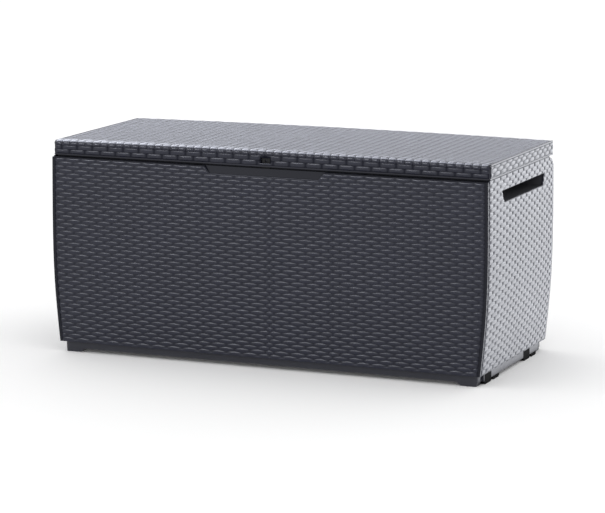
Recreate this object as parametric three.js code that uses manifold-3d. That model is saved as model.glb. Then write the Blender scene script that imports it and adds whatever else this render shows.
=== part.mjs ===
// Deck storage box in moulded resin: a base with plinth and feet, four panels, and a lid on two
// rear hinges. Millimetres, +Z up, +X to the right, the front faces -Y. The origin is on the floor
// under the middle of the box.
import * as THREE from "three";
import { mergeVertices } from "three/addons/utils/BufferGeometryUtils.js";
import Module from "manifold-3d";

// ---------- driving dimensions ----------
const GAP = 0.3; // clearance between touching pieces
const WALL = 3; // panel skin
const RELIEF = 1.2; // depth of the field that the weave fills

// body
const FRONT_Y = -265; // outer face of the front panel
const BACK_Y = 265; // outer face of the back panel
const PANEL_Z0 = 28; // lower edge of the panels
const SHOULDER_Z = 527.5; // top of the front panel
const SIDE_TOP_Z = 531.2; // top of the side panels, close under the lid's rim
const RIM_Z = 548; // top of the inner rim that the lid closes over
const MARGIN = 8; // smooth strip along the panel's upright edges
const RIB = 3; // thickness of ribs and flanges
const RIB_DEPTH = 12;
// half width of the body at each height: the ends are upright above and curve in below
const SIDE_PROFILE = [
  [28, 597], [50, 599.7], [80, 602.6], [120, 606.2], [160, 609.6], [200, 612],
  [240, 613.6], [280, 614.6], [320, 615], [380, 615], [440, 614.5], [527.5, 613.5],
];
// rear shoulder, as [y, z]
const REAR_SHOULDER = { lowZ: 507, topY: 247, topZ: 525 };
const REAR_RIM_Y = 235; // outer face of the rear inner rim
const FRONT_RIM_Y = -244.5; // outer face of the front inner rim
const SIDE_RIM_X = 606; // outer face of the side inner rims

// base
const BASE_X = 588, BASE_Y = 256; // half size of the plinth
const PLINTH_Z = 10; // lower edge of the plinth between the feet
const SKIRT_X = 594, SKIRT_Z = 9; // face and lower edge of the skirt along each side, between the feet
const FLOOR_Z = 44, FLOOR_T = 3; // top and thickness of the floor
const FOOT_W = 45, FOOT_L = 52, FOOT_SLOPE = 14;
// black feet under the sides: [y from, y to, height]
const PADS = [[-219, -168, 27], [-156, -106, 9], [91, 141, 27], [152, 195, 9]];
const PAD_DEPTH = 17, PAD_PROUD = 0.6;

// finger recess in the top of the front panel
const RECESS = { topHalf: 169, lowHalf: 153, z: 509.5, lowDepth: 1.5, depth: 12 };

// hand-hold slot in each side
const SLOT = { y0: -157, y1: 180, z1: 491.5, yb0: -139, yb1: 168, z0: 461.5, r: 4 };
const POCKET_DEPTH = 72;

// lid
const LID_X = 614.5, LID_Y0 = -252.6, LID_Y1 = 259; // rim bead outline
const LID_Z0 = 532, LID_TOP = 569;
const LID_BEAD = 3.5; // height of the rim bead
const LID_R = 4; // corner radius in plan
const LID_INSET = 1; // the woven field lies this far inside the bead
const LID_WALL = 3, LID_SKIN = 3.2;
const INNER_T = 2.5; // thickness of the lid's inner panel
const LID_EDGE_R = 8; // rounding of the lid's top edge at the front
const LOCK_SLOT = { half: 14, z0: 541.5, z1: 554.5 };

// hinges
const HINGE_Y = 247, HINGE_Z = 541; // hinge axis, along X
const HINGE_X = 430; // distance of each hinge from the middle
const KNUCKLE_R = 6, PIN_R = 3, BORE_R = 3.3;

// ---------- materials ----------
const resin = () => new THREE.MeshStandardMaterial({ color: 0x35363d, roughness: 0.42, metalness: 0 });
const smoothResin = () => new THREE.MeshStandardMaterial({ color: 0x2c2c32, roughness: 0.5, metalness: 0 });
const innerResin = () => new THREE.MeshStandardMaterial({ color: 0x303138, roughness: 0.55, metalness: 0 });
const blackRubber = () => new THREE.MeshStandardMaterial({ color: 0x121214, roughness: 0.8, metalness: 0 });
const steel = () => new THREE.MeshStandardMaterial({ color: 0xb8babd, roughness: 0.35, metalness: 1 });

// ---------- solids ----------
const wasm = await Module();
wasm.setup();

const solid = (geometry) => {
  const g = geometry.clone();
  for (const k of Object.keys(g.attributes)) if (k !== "position") g.deleteAttribute(k);
  const m = mergeVertices(g, 1e-4);
  return new wasm.Manifold(new wasm.Mesh({
    numProp: 3,
    vertProperties: new Float32Array(m.attributes.position.array),
    triVerts: new Uint32Array(m.index.array),
  }));
};
const box = (x0, x1, y0, y1, z0, z1) =>
  solid(new THREE.BoxGeometry(x1 - x0, y1 - y0, z1 - z0)
    .translate((x0 + x1) / 2, (y0 + y1) / 2, (z0 + z1) / 2));
const area2 = (pts) => pts.reduce((s, p, i) => {
  const q = pts[(i + 1) % pts.length];
  return s + p[0] * q[1] - q[0] * p[1];
}, 0);
const shape = (pts) => {
  const list = area2(pts) > 0 ? pts : [...pts].reverse();
  return new THREE.Shape(list.map((p) => new THREE.Vector2(p[0], p[1])));
};
// an outline in the XY plane, extruded up
const extrudeZ = (pts, z0, z1) =>
  solid(new THREE.ExtrudeGeometry(shape(pts), { depth: z1 - z0, bevelEnabled: false }).translate(0, 0, z0));
// an outline in the XZ plane, extruded along Y
const extrudeY = (pts, y0, y1) =>
  solid(new THREE.ExtrudeGeometry(shape(pts), { depth: y1 - y0, bevelEnabled: false })
    .rotateX(Math.PI / 2).translate(0, y1, 0));
// an outline in the YZ plane, extruded along X
const extrudeX = (pts, x0, x1) =>
  solid(new THREE.ExtrudeGeometry(shape(pts), { depth: x1 - x0, bevelEnabled: false })
    .rotateZ(Math.PI / 2).rotateY(Math.PI / 2).translate(x0, 0, 0));
const cylX = (r, x0, x1, y, z, n = 24) =>
  solid(new THREE.CylinderGeometry(r, r, x1 - x0, n).rotateZ(Math.PI / 2).translate((x0 + x1) / 2, y, z));
const cylY = (r, y0, y1, x, z, n = 16) =>
  solid(new THREE.CylinderGeometry(r, r, y1 - y0, n).translate(x, (y0 + y1) / 2, z));
const cylZ = (r, z0, z1, x, y, n = 16) =>
  solid(new THREE.CylinderGeometry(r, r, z1 - z0, n).rotateX(Math.PI / 2).translate(x, y, (z0 + z1) / 2));
const join = (list) => list.reduce((a, b) => a.add(b));
const roundedRect = (x0, x1, y0, y1, r, n = 5) => {
  const pts = [];
  const corner = (cx, cy, a0) => {
    for (let i = 0; i <= n; i++) {
      const a = a0 + (i / n) * Math.PI / 2;
      pts.push([cx + r * Math.cos(a), cy + r * Math.sin(a)]);
    }
  };
  corner(x1 - r, y1 - r, 0);
  corner(x0 + r, y1 - r, Math.PI / 2);
  corner(x0 + r, y0 + r, Math.PI);
  corner(x1 - r, y0 + r, 1.5 * Math.PI);
  return pts;
};
const mirrorX = (m) => {
  const mesh = m.getMesh();
  const v = new Float32Array(mesh.vertProperties), t = new Uint32Array(mesh.triVerts);
  for (let i = 0; i < v.length; i += 3) v[i] = -v[i];
  for (let i = 0; i < t.length; i += 3) [t[i], t[i + 1]] = [t[i + 1], t[i]];
  return new wasm.Manifold(new wasm.Mesh({ numProp: 3, vertProperties: v, triVerts: t }));
};
const geometryOf = (m) => {
  const mesh = m.getMesh();
  const g = new THREE.BufferGeometry();
  const v = new Float32Array(mesh.numVert * 3);
  for (let i = 0; i < mesh.numVert; i++)
    for (let k = 0; k < 3; k++) v[3 * i + k] = mesh.vertProperties[i * mesh.numProp + k];
  g.setAttribute("position", new THREE.BufferAttribute(v, 3));
  g.setIndex(new THREE.BufferAttribute(new Uint32Array(mesh.triVerts), 1));
  g.computeVertexNormals();
  return g;
};

const halfWidth = (z) => {
  const p = SIDE_PROFILE;
  if (z <= p[0][0]) return p[0][1];
  for (let i = 1; i < p.length; i++)
    if (z <= p[i][0]) {
      const t = (z - p[i - 1][0]) / (p[i][0] - p[i - 1][0]);
      return p[i - 1][1] + t * (p[i][1] - p[i - 1][1]);
    }
  return p[p.length - 1][1];
};
// outline of the body seen from the front, moved in by `inset` at the ends
const bodyOutline = (z0, z1, inset) => {
  const zs = [z0, ...SIDE_PROFILE.map((p) => p[0]).filter((z) => z > z0 + 1 && z < z1 - 1), z1];
  const right = zs.map((z) => [halfWidth(z) - inset, z]);
  const left = [...right].reverse().map(([x, z]) => [-x, z]);
  return [...right, ...left];
};

// ---------- base ----------
const makeBase = () => {
  const outer = roundedRect(-BASE_X, BASE_X, -BASE_Y, BASE_Y, 14);
  const inner = roundedRect(-BASE_X + WALL, BASE_X - WALL, -BASE_Y + WALL, BASE_Y - WALL, 10);
  let base = extrudeZ(outer, PLINTH_Z, FLOOR_Z).subtract(extrudeZ(inner, PLINTH_Z - 1, FLOOR_Z - FLOOR_T));
  // a skirt stands out along each side, up to the panel
  for (const sx of [-1, 1])
    base = base.add(box(sx > 0 ? BASE_X - WALL : -SKIRT_X, sx > 0 ? SKIRT_X : -BASE_X + WALL, -BASE_Y + FOOT_L - 20, BASE_Y - FOOT_L + 10, SKIRT_Z, PANEL_Z0 - GAP));
  // corner feet, with a sloped inner side, open behind
  for (const sx of [-1, 1])
    for (const sy of [-1, 1]) {
      const x1 = BASE_X - 1;
      const side = [[x1, 27], [x1 - 3.5, 0], [x1 - FOOT_W, 0], [x1 - FOOT_W - FOOT_SLOPE, PLINTH_Z + 0.5], [x1 - FOOT_W - FOOT_SLOPE, 27]]
        .map(([x, z]) => [sx * x, z]);
      let foot = extrudeY(side, sy > 0 ? BASE_Y - FOOT_L : -BASE_Y + 1, sy > 0 ? BASE_Y - 1 : -BASE_Y + FOOT_L);
      foot = foot.intersect(extrudeZ(roundedRect(-BASE_X, BASE_X, -BASE_Y, BASE_Y, 14), -1, 60));
      base = base.add(foot);
    }
  // beams under the floor, where the black feet sit
  for (const sx of [-1, 1])
    for (const [y0, y1, h] of PADS)
      base = base.add(box(sx > 0 ? BASE_X - 24 : -BASE_X + 2, sx > 0 ? BASE_X - 2 : -BASE_X + 24, y0, y1, Math.max(h + GAP, PLINTH_Z), FLOOR_Z - 1));
  // stiffening ribs under the floor
  for (const x of [-390, -195, 0, 195, 390]) base = base.add(box(x - 1.5, x + 1.5, -BASE_Y + 2, BASE_Y - 2, 20, FLOOR_Z - 1));
  for (const y of [-85, 85]) base = base.add(box(-BASE_X + 2, BASE_X - 2, y - 1.5, y + 1.5, 20, FLOOR_Z - 1));
  return base;
};
const makePad = (sx, [y0, y1, h]) => {
  const r = Math.min(7, h - 1);
  const pts = [];
  for (let i = 0; i <= 4; i++) { const a = Math.PI + (i / 4) * Math.PI / 2; pts.push([y0 + r + r * Math.cos(a), r + r * Math.sin(a)]); }
  for (let i = 0; i <= 4; i++) { const a = 1.5 * Math.PI + (i / 4) * Math.PI / 2; pts.push([y1 - r + r * Math.cos(a), r + r * Math.sin(a)]); }
  pts.push([y1, h], [y0, h]);
  // the tall pads stand in a notch of the skirt, a little proud of it
  return extrudeX(pts, sx > 0 ? SKIRT_X - PAD_DEPTH : -SKIRT_X - PAD_PROUD, sx > 0 ? SKIRT_X + PAD_PROUD : -SKIRT_X + PAD_DEPTH);
};
let base = makeBase();
// notches for the black feet
for (const sx of [-1, 1])
  for (const [y0, y1, h] of PADS)
    base = base.subtract(box(sx > 0 ? SKIRT_X - PAD_DEPTH - GAP : -SKIRT_X - 1, sx > 0 ? SKIRT_X + 1 : -SKIRT_X + PAD_DEPTH + GAP, y0 - GAP, y1 + GAP, -1, h + GAP));

// ---------- panels ----------
const HINGE_SPAN = 32;
const makeFront = () => {
  const y1 = FRONT_Y + WALL;
  const skin = extrudeY(bodyOutline(PANEL_Z0, SHOULDER_Z, 0), FRONT_Y, y1);
  let p = skin;
  // backing block behind the finger recess
  p = p.add(box(-RECESS.topHalf - 8, RECESS.topHalf + 8, y1 - 1, y1 + 14, RECESS.z - 8, SHOULDER_Z));
  // top ledge and inner rim
  p = p.add(box(-(SIDE_RIM_X + 3), SIDE_RIM_X + 3, y1 - 1, FRONT_RIM_Y + WALL, SHOULDER_Z - WALL, SHOULDER_Z));
  p = p.add(box(-SIDE_RIM_X, SIDE_RIM_X, FRONT_RIM_Y, FRONT_RIM_Y + WALL, SHOULDER_Z - WALL, RIM_Z));
  // bottom flange and upright ribs
  p = p.add(box(-585, 585, y1 - 1, -BASE_Y - 0.4, PANEL_Z0, PANEL_Z0 + RIB));
  for (const x of [-560, -380, -190, 0, 190, 380, 560])
    p = p.add(box(x - RIB / 2, x + RIB / 2, y1 - 1, y1 + RIB_DEPTH, FLOOR_Z + 4, SHOULDER_Z - 1));
  // cross rib
  p = p.add(box(-562, 562, y1 - 1, y1 + RIB_DEPTH - 4, 270, 270 + RIB));
  // woven field, open at the bottom edge
  const field = bodyOutline(PANEL_Z0 - 2, SHOULDER_Z - 1.8, MARGIN);
  p = p.subtract(extrudeY(field, FRONT_Y - 1, FRONT_Y + RELIEF));
  // softened top edge
  p = p.subtract(extrudeX([[FRONT_Y - 1, SHOULDER_Z - 1.5], [FRONT_Y, SHOULDER_Z - 1.5], [FRONT_Y + 1.5, SHOULDER_Z], [FRONT_Y + 1.5, SHOULDER_Z + 1], [FRONT_Y - 1, SHOULDER_Z + 1]], -620, 620));
  // finger recess: a wedge that is deepest at the top
  const wedge = extrudeX([[FRONT_Y - 2, RECESS.z], [FRONT_Y + RECESS.lowDepth, RECESS.z], [FRONT_Y + RECESS.depth, SHOULDER_Z + 1], [FRONT_Y - 2, SHOULDER_Z + 1]], -200, 200);
  // holes for the staple's screws
  for (const x of [-7, 7]) p = p.subtract(cylY(1.9, FRONT_RIM_Y - 1, FRONT_RIM_Y + WALL + 1, x, 534));
  const slope = (RECESS.topHalf - RECESS.lowHalf) / (SHOULDER_Z - RECESS.z);
  const th = RECESS.topHalf + slope * 2;
  const trap = extrudeY([[-RECESS.lowHalf, RECESS.z], [RECESS.lowHalf, RECESS.z], [th, SHOULDER_Z + 2], [-th, SHOULDER_Z + 2]], FRONT_Y - 3, FRONT_Y + 20);
  return p.subtract(wedge.intersect(trap));
};
const makeBack = () => {
  const S = REAR_SHOULDER, y1 = BACK_Y - WALL;
  const full = extrudeX([[BACK_Y, PANEL_Z0], [BACK_Y, S.lowZ], [S.topY, S.topZ], [REAR_RIM_Y, S.topZ], [REAR_RIM_Y, RIM_Z],
    [REAR_RIM_Y - WALL, RIM_Z], [REAR_RIM_Y - WALL, S.topZ - WALL], [S.topY - 1.7, S.topZ - WALL], [y1, S.lowZ - 1.7], [y1, PANEL_Z0]], -SIDE_RIM_X, SIDE_RIM_X);
  const skin = extrudeY(bodyOutline(PANEL_Z0, S.lowZ, 0), y1, BACK_Y);
  let p = full.intersect(extrudeY(bodyOutline(PANEL_Z0, 560, 4.6), 200, 270)).add(skin);
  // the shoulder plate reaches out to the side panels
  p = p.add(extrudeX([[BACK_Y, S.lowZ - 4], [BACK_Y, S.lowZ], [S.topY, S.topZ], [REAR_RIM_Y, S.topZ], [REAR_RIM_Y, S.topZ - WALL], [S.topY - 1.7, S.topZ - WALL], [y1, S.lowZ - 1.7], [y1, S.lowZ - 4]],
    -609, 609));
  p = p.add(box(-585, 585, BASE_Y + 0.4, y1 + 1, PANEL_Z0, PANEL_Z0 + RIB));
  for (const x of [-560, -380, -190, 0, 190, 380, 560])
    p = p.add(box(x - RIB / 2, x + RIB / 2, y1 - RIB_DEPTH, y1 + 1, FLOOR_Z + 4, S.lowZ - 2));
  p = p.add(box(-562, 562, y1 - RIB_DEPTH + 4, y1 + 1, 270, 270 + RIB));
  // blocks that take the hinge screws, and a notch in the rim for each hinge arm
  for (const s of [-1, 1]) {
    const c = s * HINGE_X;
    p = p.add(extrudeX([[REAR_RIM_Y - WALL, 498], [y1 + 1, 498], [y1 + 1, S.lowZ - 1], [S.topY, S.topZ - 2], [REAR_RIM_Y - WALL, S.topZ - 2]], c - HINGE_SPAN, c + HINGE_SPAN));
    p = p.subtract(box(c - 16, c + 16, REAR_RIM_Y - WALL - 1, REAR_RIM_Y + 1, 534.5, RIM_Z + 1));
    for (const d of [-22, 22]) p = p.subtract(cylY(2.4, REAR_RIM_Y - WALL - 1, REAR_RIM_Y + 12, c + d, 510));
  }
  const field = bodyOutline(PANEL_Z0 - 2, S.lowZ - 6, MARGIN);
  return p.subtract(extrudeY(field, BACK_Y - RELIEF, BACK_Y + 1));
};
// the right-hand side panel; the left is its mirror image
const makeSide = () => {
  const y0 = FRONT_Y + WALL + GAP, y1 = BACK_Y - WALL - GAP;
  const zs = SIDE_PROFILE.map((q) => q[0]);
  const outer = zs.map((z) => [halfWidth(z), z]);
  const inner = zs.map((z) => [halfWidth(z) - WALL, z]).reverse();
  let p = extrudeY([...outer, ...inner], y0, y1);
  // the wall stands up to the lid's rim, and slopes down to the front panel's shoulder
  const top = halfWidth(SHOULDER_Z);
  p = p.add(extrudeX([[y0, SHOULDER_Z - 2], [y0, SHOULDER_Z], [LID_Y0 - 6, SHOULDER_Z], [LID_Y0 + 0.5, SIDE_TOP_Z], [y1, SIDE_TOP_Z], [y1, SHOULDER_Z - 2]], top - WALL, top));
  // ledge and inner rim
  p = p.add(box(SIDE_RIM_X - WALL, 611, FRONT_RIM_Y + WALL + GAP, REAR_RIM_Y - WALL - GAP, SHOULDER_Z - WALL, SHOULDER_Z));
  p = p.add(box(SIDE_RIM_X - WALL, SIDE_RIM_X, FRONT_RIM_Y + WALL + GAP, REAR_RIM_Y - WALL - GAP, SHOULDER_Z - WALL, RIM_Z));
  // bottom flange and upright ribs
  p = p.add(box(BASE_X + 0.4, 595, -240, 240, PANEL_Z0, PANEL_Z0 + RIB));
  const ribAt = (y) => {
    const zz = [FLOOR_Z + 4, ...zs.filter((z) => z > 60 && z < 445), 446];
    const o = zz.map((z) => [halfWidth(z) - 1, z]), i = zz.map((z) => [halfWidth(z) - WALL - RIB_DEPTH, z]).reverse();
    return extrudeY([...o, ...i], y - RIB / 2, y + RIB / 2);
  };
  for (const y of [-215, -72, 72, 215]) p = p.add(ribAt(y));
  // rear top corner follows the back panel's shoulder
  const S = REAR_SHOULDER;
  p = p.subtract(extrudeX([[REAR_RIM_Y - WALL - GAP, SIDE_TOP_Z + 0.01], [REAR_RIM_Y, S.topZ], [S.topY, S.topZ], [BACK_Y, S.lowZ], [BACK_Y + 5, S.lowZ], [BACK_Y + 5, 560], [REAR_RIM_Y - WALL - GAP, 560]], 590, 625));
  // hand-hold slot
  const c = [[SLOT.y0, SLOT.z1], [SLOT.y1, SLOT.z1], [SLOT.yb1, SLOT.z0], [SLOT.yb0, SLOT.z0]];
  const cut = [];
  c.forEach((q, i) => { // rounded corners
    const a = c[(i + 3) % 4], b = c[(i + 1) % 4];
    const u = (m) => { const d = Math.hypot(m[0] - q[0], m[1] - q[1]); return [(m[0] - q[0]) / d, (m[1] - q[1]) / d]; };
    const ua = u(a), ub = u(b);
    for (let k = 0; k <= 3; k++) {
      const t = k / 3, w0 = (1 - t) * (1 - t) * SLOT.r, w1 = t * t * SLOT.r;
      cut.push([q[0] + ua[0] * w0 + ub[0] * w1, q[1] + ua[1] * w0 + ub[1] * w1]);
    }
  });
  p = p.subtract(extrudeX(cut, 590, 630));
  // woven field
  const fz = [PANEL_Z0 - 2, ...zs.filter((z) => z > 40 && z < 520), SHOULDER_Z, SIDE_TOP_Z + 1];
  const fo = fz.map((z) => [halfWidth(z) + 2, z]), fi = fz.map((z) => [halfWidth(z) - RELIEF, z]).reverse();
  return p.subtract(extrudeY([...fo, ...fi], y0 + 3, y1 - 4));
};
// the pocket behind the hand-hold slot, open outwards
const makePocket = () => {
  const x1 = halfWidth(475) - WALL - 0.5, x0 = x1 - POCKET_DEPTH;
  const b = box(x0, x1, SLOT.y0 - 6, SLOT.y1 + 6, SLOT.z0 - 4, SLOT.z1 + 8);
  const hollow = extrudeX([[SLOT.yb0 - 2, SLOT.z0 - 1], [SLOT.yb1 + 1, SLOT.z0 - 1], [SLOT.y1 + 1.5, SLOT.z1 + 1], [SLOT.y1 + 1.5, SLOT.z1 + 5], [SLOT.y0 - 2, SLOT.z1 + 5], [SLOT.y0 - 2, SLOT.z1 + 1]], x0 + 3, x1 + 5);
  return b.subtract(hollow);
};
// inside bracket at a corner: one leg on the front or back panel, one on the side
const makeCorner = (sx, sy, z0) => {
  const z1 = z0 + 60;
  const face = sy < 0 ? FRONT_Y + WALL : BACK_Y - WALL;
  const xs = Math.min(halfWidth(z0), halfWidth(z1)) - WALL - 0.5;
  const ya = face - sy * 0.4, yb = face - sy * 3.4, yc = face - sy * 36;
  const X = (a, b) => (sx > 0 ? [a, b] : [-b, -a]);
  const Y = (a, b) => (a < b ? [a, b] : [b, a]);
  let m = box(...X(564, xs), ...Y(ya, yb), z0, z1).add(box(...X(xs - 3, xs), ...Y(yb, yc), z0, z1));
  // gusset
  const g = [[xs - 2, yb - sy * -0.5], [xs - 30, yb - sy * -0.5], [xs - 2, yb - sy * 28]].map(([x, y]) => [sx * x, y]);
  return m.add(extrudeZ(g, z0 + 28, z0 + 31));
};

// ---------- lid ----------
const lidOutline = (inset) => roundedRect(-LID_X + inset, LID_X - inset, LID_Y0 + inset, LID_Y1 - inset, Math.max(2, LID_R - inset));
const makeLid = () => {
  let p = extrudeZ(lidOutline(LID_INSET), LID_Z0, LID_TOP);
  p = p.add(extrudeZ(lidOutline(0), LID_Z0, LID_Z0 + LID_BEAD));
  p = p.subtract(extrudeZ(lidOutline(LID_INSET + LID_WALL), LID_Z0 - 1, LID_TOP - LID_SKIN));
  // rounded top edges: wide at the front, narrow elsewhere
  const edge = (y, r, dir) => {
    const pts = [[y - dir * 2, LID_TOP - r], [y, LID_TOP - r]];
    for (let i = 1; i <= 5; i++) { const a = (i / 5) * Math.PI / 2; pts.push([y + dir * r * (1 - Math.cos(a)), LID_TOP - r + r * Math.sin(a)]); }
    pts.push([y + dir * r, LID_TOP + 2], [y - dir * 2, LID_TOP + 2]);
    return pts;
  };
  p = p.subtract(extrudeX(edge(LID_Y0 + LID_INSET, LID_EDGE_R, 1), -630, 630));
  p = p.subtract(extrudeX(edge(LID_Y1 - LID_INSET, 3, -1), -630, 630));
  p = p.subtract(extrudeY(edge(-LID_X + LID_INSET, 2.5, 1), -300, 300));
  p = p.subtract(extrudeY(edge(LID_X - LID_INSET, 2.5, -1), -300, 300));
  // front corners behind the wide rounding keep a wall, so the inner edge is filled
  const y0 = LID_Y0 + LID_INSET + LID_WALL;
  p = p.add(extrudeX([[y0 - 0.5, LID_TOP - LID_SKIN + 0.5], [y0 - 0.5, LID_TOP - 12], [y0 + 8, LID_TOP - LID_SKIN + 0.5]], -LID_X + 5, LID_X - 5)
    .subtract(extrudeX(edge(LID_Y0 + LID_INSET, LID_EDGE_R, 1), -630, 630)));
  // lock slot
  p = p.subtract(box(-LOCK_SLOT.half, LOCK_SLOT.half, LID_Y0 - 2, y0 + 2, LOCK_SLOT.z0, LOCK_SLOT.z1));
  // screw bosses for the hinge leaves
  for (const s of [-1, 1])
    for (const d of [-32, 32]) {
      p = p.add(cylZ(6, 555, LID_TOP - 2, s * HINGE_X + d, 218));
      p = p.subtract(cylZ(2.4, 550, 563, s * HINGE_X + d, 218));
    }
  return p;
};
const makeInner = () => {
  const y0 = LID_Y0 + LID_INSET + LID_WALL + 0.4, y1 = LID_Y1 - LID_INSET - LID_WALL - 0.4, x1 = LID_X - LID_INSET - LID_WALL - 0.4;
  const z0 = RIM_Z + GAP, z1 = z0 + INNER_T;
  let p = box(-x1, x1, y0, y1, z0, z1);
  // turned-up edge that clips into the shell
  const top = 556;
  const plan = extrudeZ(lidOutline(LID_INSET + LID_WALL + 0.4), z0 - 20, top + 5);
  p = p.add(box(-x1, x1, y0, y0 + 2.5, z0, top)).add(box(-x1, x1, y1 - 2.5, y1, z0, top));
  p = p.add(box(-x1, -x1 + 2.5, y0, y1, z0, top)).add(box(x1 - 2.5, x1, y0, y1, z0, top));
  // stiffening ribs below
  const ry0 = -234, ry1 = 200;
  for (const x of [-400, -200, 0, 200, 400]) p = p.add(box(x - 2, x + 2, ry0, ry1, z0 - 7, z0 + 1));
  for (const y of [ry0 + 2, -90, 55, ry1 - 2]) p = p.add(box(-594, 594, y - 2, y + 2, z0 - 7, z0 + 1));
  for (const x of [-594, 594]) p = p.add(box(x - 2, x + 2, ry0, ry1, z0 - 7, z0 + 1));
  for (const s of [-1, 1]) {
    const c = s * HINGE_X;
    // slots for the leaf's ears, holes for its screws
    for (const d of [-21, 21]) p = p.subtract(box(c + d - 6, c + d + 6, 240, y1 + 1, z0 - 1, top + 1));
    for (const d of [-32, 32]) p = p.subtract(cylZ(2.4, z0 - 1, z1 + 1, c + d, 218));
  }
  // room for a padlock's shackle behind the lock slot
  return p.intersect(plan).subtract(box(-18, 18, y0 - 1, y0 + 3.5, z0 - 1, top + 1));
};
const makeStaple = () => {
  // plate standing on the front ledge behind the lock slot, with a hole for a shackle
  const y0 = FRONT_RIM_Y - GAP - 2.6, y1 = FRONT_RIM_Y - GAP;
  let p = box(-11, 11, y0, y1, SHOULDER_Z + GAP, 554);
  return p.subtract(cylY(4, y0 - 1, y1 + 1, 0, 547.5)).subtract(cylY(1.9, y0 - 1, y1 + 1, -7, 534)).subtract(cylY(1.9, y0 - 1, y1 + 1, 7, 534));
};

// ---------- hinges ----------
const makeBracket = (c) => {
  // plate on the inside of the rear rim, with an arm out to the knuckle
  const yi = REAR_RIM_Y - WALL - GAP;
  let p = box(c - 30, c + 30, yi - 3, yi, 500, 547);
  p = p.add(box(c - 15, c + 15, yi - 1, HINGE_Y, 537, 545.5));
  p = p.add(cylX(KNUCKLE_R, c - 15, c + 15, HINGE_Y, HINGE_Z));
  p = p.subtract(cylX(BORE_R, c - 16, c + 16, HINGE_Y, HINGE_Z));
  for (const d of [-22, 22]) p = p.subtract(cylY(2.4, yi - 4, yi + 1, c + d, 510));
  return p;
};
const makeLeaf = (c) => {
  const z0 = RIM_Z + GAP + INNER_T + GAP, z1 = z0 + 2.8;
  let p = box(c - 40, c + 40, 206, 251, z0, z1);
  for (const d of [-21, 21]) {
    p = p.add(cylX(KNUCKLE_R, c + d - 5, c + d + 5, HINGE_Y, HINGE_Z));
    p = p.add(box(c + d - 5, c + d + 5, HINGE_Y - KNUCKLE_R + 0.5, HINGE_Y + KNUCKLE_R - 1, HINGE_Z, z0 + 1));
  }
  p = p.subtract(cylX(BORE_R, c - 30, c + 30, HINGE_Y, HINGE_Z));
  for (const d of [-32, 32]) p = p.subtract(cylZ(2.4, z0 - 1, z1 + 1, c + d, 218));
  return p;
};
// pin with its head on the outer side; the left one is a mirror image
const makePin = () => cylX(PIN_R, HINGE_X - 27, HINGE_X + 28, HINGE_Y, HINGE_Z, 20).add(cylX(4.6, HINGE_X + 27.5, HINGE_X + 29.5, HINGE_Y, HINGE_Z, 20));
// a pan-head screw from a half outline turned about its axis, head at 0, shank up to `length`
const screwShape = (length, r = 2.1, head = 4.4) => {
  const pts = [[0, -2.4], [head * 0.6, -2.3], [head, -1.1], [head, 0], [r, 0], [r, length - 2], [0.4, length], [0, length]];
  let s = solid(new THREE.LatheGeometry(pts.map(([a, b]) => new THREE.Vector2(a, b)), 16));
  // cross recess
  s = s.subtract(solid(new THREE.BoxGeometry(5, 1.6, 1).translate(0, -2.2, 0)));
  return s.subtract(solid(new THREE.BoxGeometry(1, 1.6, 5).translate(0, -2.2, 0)));
};

// ---------- assembly ----------
const root = new THREE.Group();
const body = new THREE.Group();
const lid = new THREE.Group();
root.add(body, lid);
const put = (group, name, manifold, material, at, turn) => {
  const m = new THREE.Mesh(geometryOf(manifold), material);
  m.name = name;
  if (turn) m.rotation.set(...turn);
  if (at) m.position.set(...at);
  group.add(m);
  return m;
};

put(body, "base_panel", base, smoothResin());
for (const [side, sx] of [["right", 1], ["left", -1]])
  PADS.forEach((pad, i) => put(body, `foot_pad_${side}_${i + 1}`, makePad(sx, pad), blackRubber()));
put(body, "front_panel", makeFront(), resin());
put(body, "back_panel", makeBack(), resin());
const side = makeSide(), pocket = makePocket();
put(body, "side_panel_right", side, resin());
put(body, "side_panel_left", mirrorX(side), resin());
put(body, "handle_pocket_right", pocket, smoothResin());
put(body, "handle_pocket_left", mirrorX(pocket), smoothResin());
for (const [ny, sy] of [["front", -1], ["back", 1]])
  for (const [nx, sx] of [["right", 1], ["left", -1]])
    for (const [nz, z] of [["lower", 110], ["upper", 340]])
      put(body, `corner_bracket_${ny}_${nx}_${nz}`, makeCorner(sx, sy, z), innerResin());
put(body, "lock_staple", makeStaple(), steel());
const shortScrew = screwShape(6.4, 1.6, 3);
[-7, 7].forEach((x, i) => put(body, `lock_staple_screw_${i + 1}`, shortScrew, steel(), [x, FRONT_RIM_Y + WALL + GAP, 534], [0, 0, Math.PI]));

put(lid, "lid_shell", makeLid(), resin());
put(lid, "lid_inner_panel", makeInner(), innerResin());
const bracketScrew = screwShape(14), leafScrew = screwShape(13);
for (const [n, s] of [["right", 1], ["left", -1]]) {
  const c = s * HINGE_X;
  put(body, `hinge_bracket_${n}`, makeBracket(c), innerResin());
  put(body, `hinge_pin_${n}`, s > 0 ? makePin() : mirrorX(makePin()), steel());
  put(lid, `hinge_leaf_${n}`, makeLeaf(c), innerResin());
  [-22, 22].forEach((d, i) => put(body, `hinge_bracket_screw_${n}_${i + 1}`, bracketScrew, steel(), [c + d, REAR_RIM_Y - WALL - GAP - 3.3, 510]));
  [-32, 32].forEach((d, i) => put(lid, `hinge_leaf_screw_${n}_${i + 1}`, leafScrew, steel(), [c + d, 218, RIM_Z], [Math.PI / 2, 0, 0]));
}

export default root;
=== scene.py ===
import math

import bpy
import numpy as np
from mathutils import Matrix, Vector


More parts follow.
